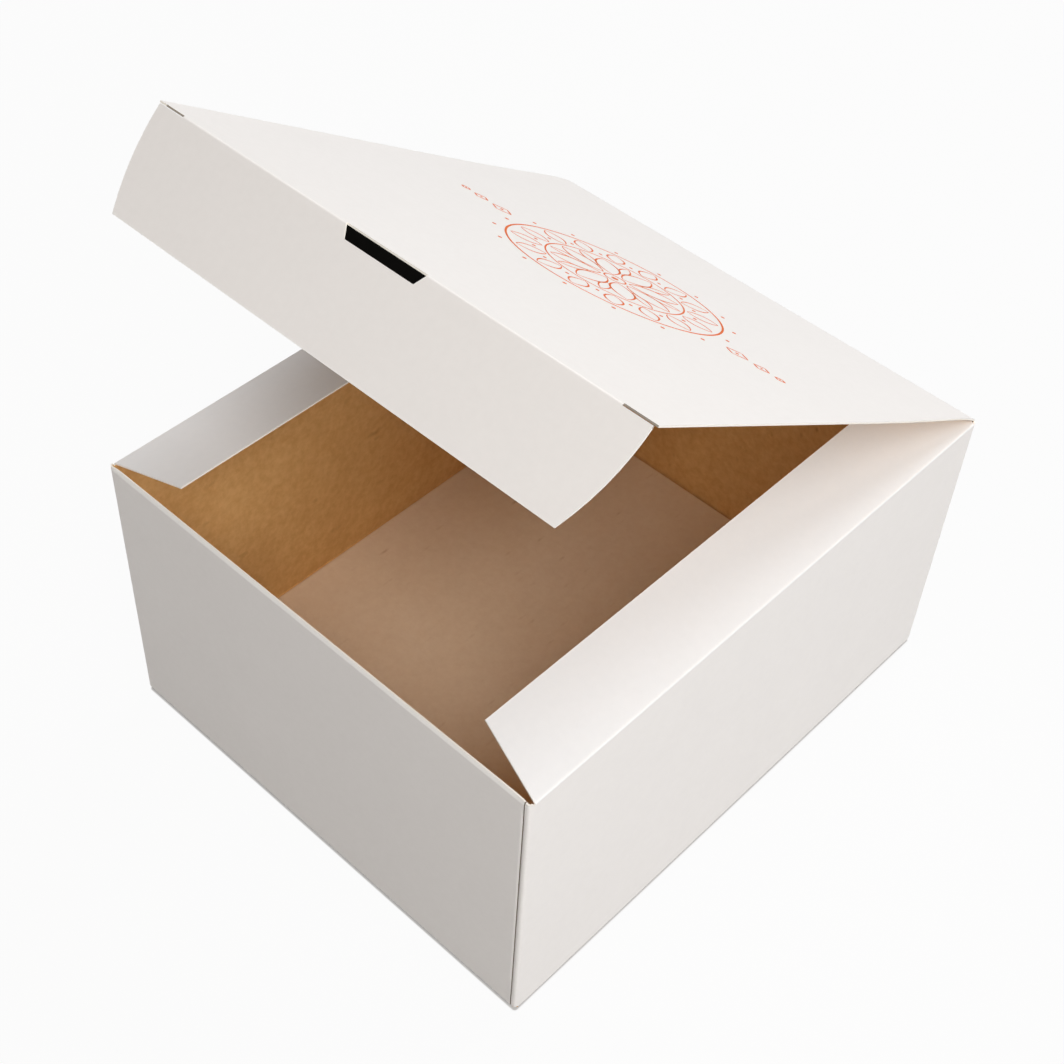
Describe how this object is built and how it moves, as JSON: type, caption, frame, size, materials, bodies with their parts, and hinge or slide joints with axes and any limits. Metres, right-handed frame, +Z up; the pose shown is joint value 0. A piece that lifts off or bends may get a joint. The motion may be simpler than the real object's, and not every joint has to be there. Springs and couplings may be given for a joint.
{
  "type": "cardboard product box",
  "caption": "Tuck-front folding carton in white-faced board, standing open: hinged lid with a slit-lock tuck flap and thumb notch, side dust flaps, kraft-brown inside.",
  "frame": {"origin": "middle of the base on the floor, below the centre of the outer width and depth", "axes": "+X to the right along the front wall, +Y to the back wall that carries the lid, +Z up"},
  "size_m": [0.16, 0.19, 0.2027],
  "materials": {
    "board_body": "matte",
    "board_lid": "matte",
    "board_tuck": "matte",
    "board_dust": "matte"
  },
  "bodies": {
    "carton": {"carton_body": "board_body"},
    "lid": {"lid": "board_lid"},
    "tuck": {"tuck_flap": "board_tuck"},
    "dust_left": {"dust_flap_left": "board_dust"},
    "dust_right": {"dust_flap_right": "board_dust"}
  },
  "joints": [
    {"name": "lid_crease", "type": "hinge", "parent": "carton", "child": "lid", "pos_m": [0, 0.09475, 0.09975], "axis": [-1, 0, 0], "range_deg": [-33, 80]},
    {"name": "tuck_crease", "type": "hinge", "parent": "lid", "child": "tuck", "pos_m": [0, -0.06342, 0.20247], "axis": [-1, 0, 0], "range_deg": [-29, 70.5]},
    {"name": "dust_left_crease", "type": "hinge", "parent": "carton", "child": "dust_left", "pos_m": [-0.07975, 0, 0.09895], "axis": [0, -1, 0], "range_deg": [-8, 19.5]},
    {"name": "dust_right_crease", "type": "hinge", "parent": "carton", "child": "dust_right", "pos_m": [0.07975, 0, 0.09895], "axis": [0, 1, 0], "range_deg": [-19, 46.5]}
  ],
  "couplings": [
    {"joint": "tuck_crease", "follows": "lid_crease", "ratio": 0.87879},
    {"joint": "dust_left_crease", "follows": "lid_crease", "ratio": 0.24242},
    {"joint": "dust_right_crease", "follows": "lid_crease", "ratio": 0.57576}
  ]
}
